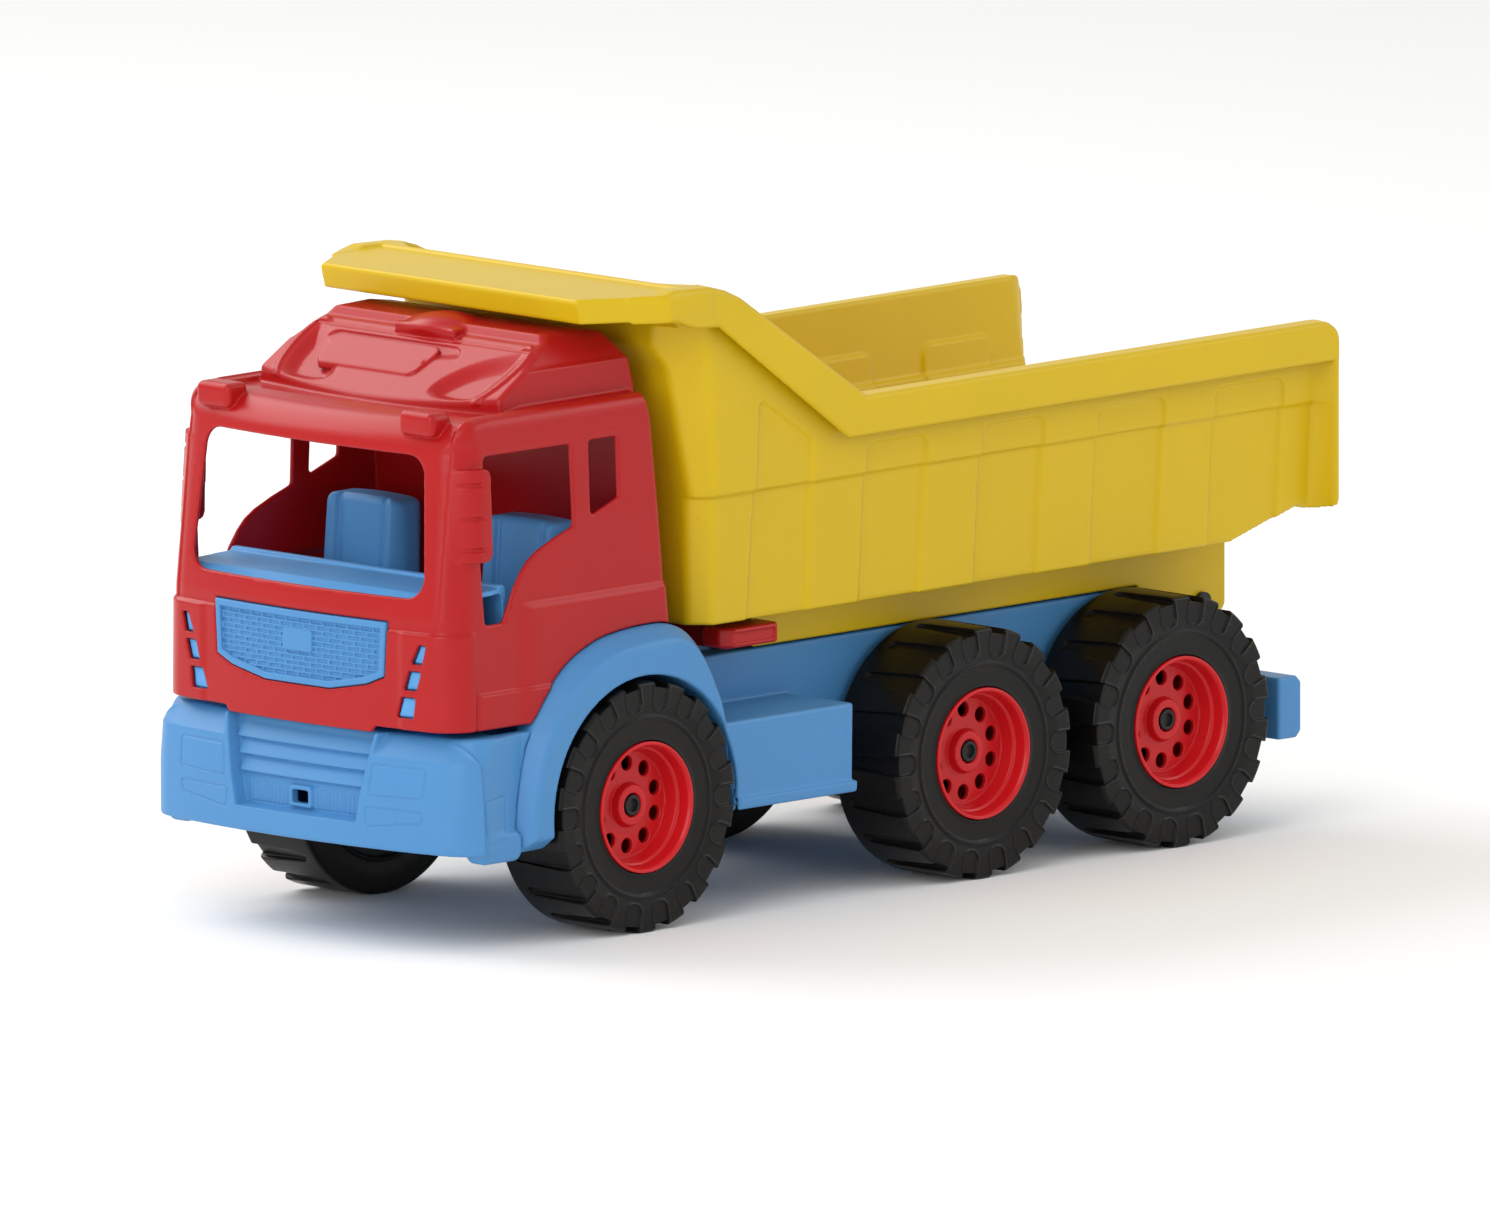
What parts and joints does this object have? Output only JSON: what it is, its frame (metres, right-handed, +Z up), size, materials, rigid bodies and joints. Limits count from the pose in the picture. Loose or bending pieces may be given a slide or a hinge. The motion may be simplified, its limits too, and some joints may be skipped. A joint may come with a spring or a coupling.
{
  "type": "toy dump truck",
  "caption": "Moulded plastic toy tipper truck with a hollow open-window cab, free-rolling wheels on three axles and a hinged dump bed with a canopy over the cab.",
  "frame": {"origin": "on the ground, under the middle of the truck's overall length and width", "axes": "+X is the way the truck drives, +Y its left side, +Z up"},
  "size_m": [0.604, 0.2146, 0.305],
  "materials": {
    "blue_plastic": "semi-gloss moulded plastic, fine mould grain",
    "red_plastic": "gloss moulded plastic with faint orange peel",
    "yellow_plastic": "semi-gloss moulded plastic with fine stipple",
    "rim_plastic": "gloss moulded plastic",
    "tyre_plastic": "satin blow-moulded plastic",
    "black_plastic": "satin moulded plastic",
    "steel": "plain drawn rod"
  },
  "bodies": {
    "truck": {"chassis": "blue_plastic", "front_bumper": "blue_plastic", "rear_bumper": "blue_plastic", "cab_shell": "red_plastic", "grille_insert": "blue_plastic", "cab_interior": "blue_plastic", "bed_hinge_pin": "black_plastic", "cab_screw_1": "steel", "cab_screw_2": "steel", "cab_screw_3": "steel", "cab_screw_4": "steel", "axle_front": "steel", "axle_middle": "steel", "axle_rear": "steel", "hub_cap_front_left": "black_plastic", "hub_cap_front_right": "black_plastic", "hub_cap_middle_left": "black_plastic", "hub_cap_middle_right": "black_plastic", "hub_cap_rear_left": "black_plastic", "hub_cap_rear_right": "black_plastic"},
    "bed": {"dump_bed": "yellow_plastic"},
    "latch": {"bed_latch": "red_plastic"},
    "wheel_front_left": {"tyre_front_left": "tyre_plastic", "rim_front_left": "rim_plastic"},
    "wheel_front_right": {"tyre_front_right": "tyre_plastic", "rim_front_right": "rim_plastic"},
    "wheel_middle_left": {"tyre_middle_left": "tyre_plastic", "rim_middle_left": "rim_plastic"},
    "wheel_middle_right": {"tyre_middle_right": "tyre_plastic", "rim_middle_right": "rim_plastic"},
    "wheel_rear_left": {"tyre_rear_left": "tyre_plastic", "rim_rear_left": "rim_plastic"},
    "wheel_rear_right": {"tyre_rear_right": "tyre_plastic", "rim_rear_right": "rim_plastic"}
  },
  "joints": [
    {"name": "bed_tilt", "type": "hinge", "parent": "truck", "child": "bed", "pos_m": [-0.25, 0, 0.107], "axis": [0, -1, 0], "range_deg": [0, 48]},
    {"name": "latch_slide", "type": "slide", "parent": "truck", "child": "latch", "axis": [0, 1, 0], "range_m": [-0.004, 0.004]},
    {"name": "spin_front_left", "type": "hinge", "parent": "truck", "child": "wheel_front_left", "pos_m": [0.171, 0.0863, 0.06], "axis": [0, 1, 0], "continuous": true},
    {"name": "spin_front_right", "type": "hinge", "parent": "truck", "child": "wheel_front_right", "pos_m": [0.171, -0.0863, 0.06], "axis": [0, 1, 0], "continuous": true},
    {"name": "spin_middle_left", "type": "hinge", "parent": "truck", "child": "wheel_middle_left", "pos_m": [-0.0585, 0.0863, 0.06], "axis": [0, 1, 0], "continuous": true},
    {"name": "spin_middle_right", "type": "hinge", "parent": "truck", "child": "wheel_middle_right", "pos_m": [-0.0585, -0.0863, 0.06], "axis": [0, 1, 0], "continuous": true},
    {"name": "spin_rear_left", "type": "hinge", "parent": "truck", "child": "wheel_rear_left", "pos_m": [-0.1935, 0.0863, 0.06], "axis": [0, 1, 0], "continuous": true},
    {"name": "spin_rear_right", "type": "hinge", "parent": "truck", "child": "wheel_rear_right", "pos_m": [-0.1935, -0.0863, 0.06], "axis": [0, 1, 0], "continuous": true}
  ]
}
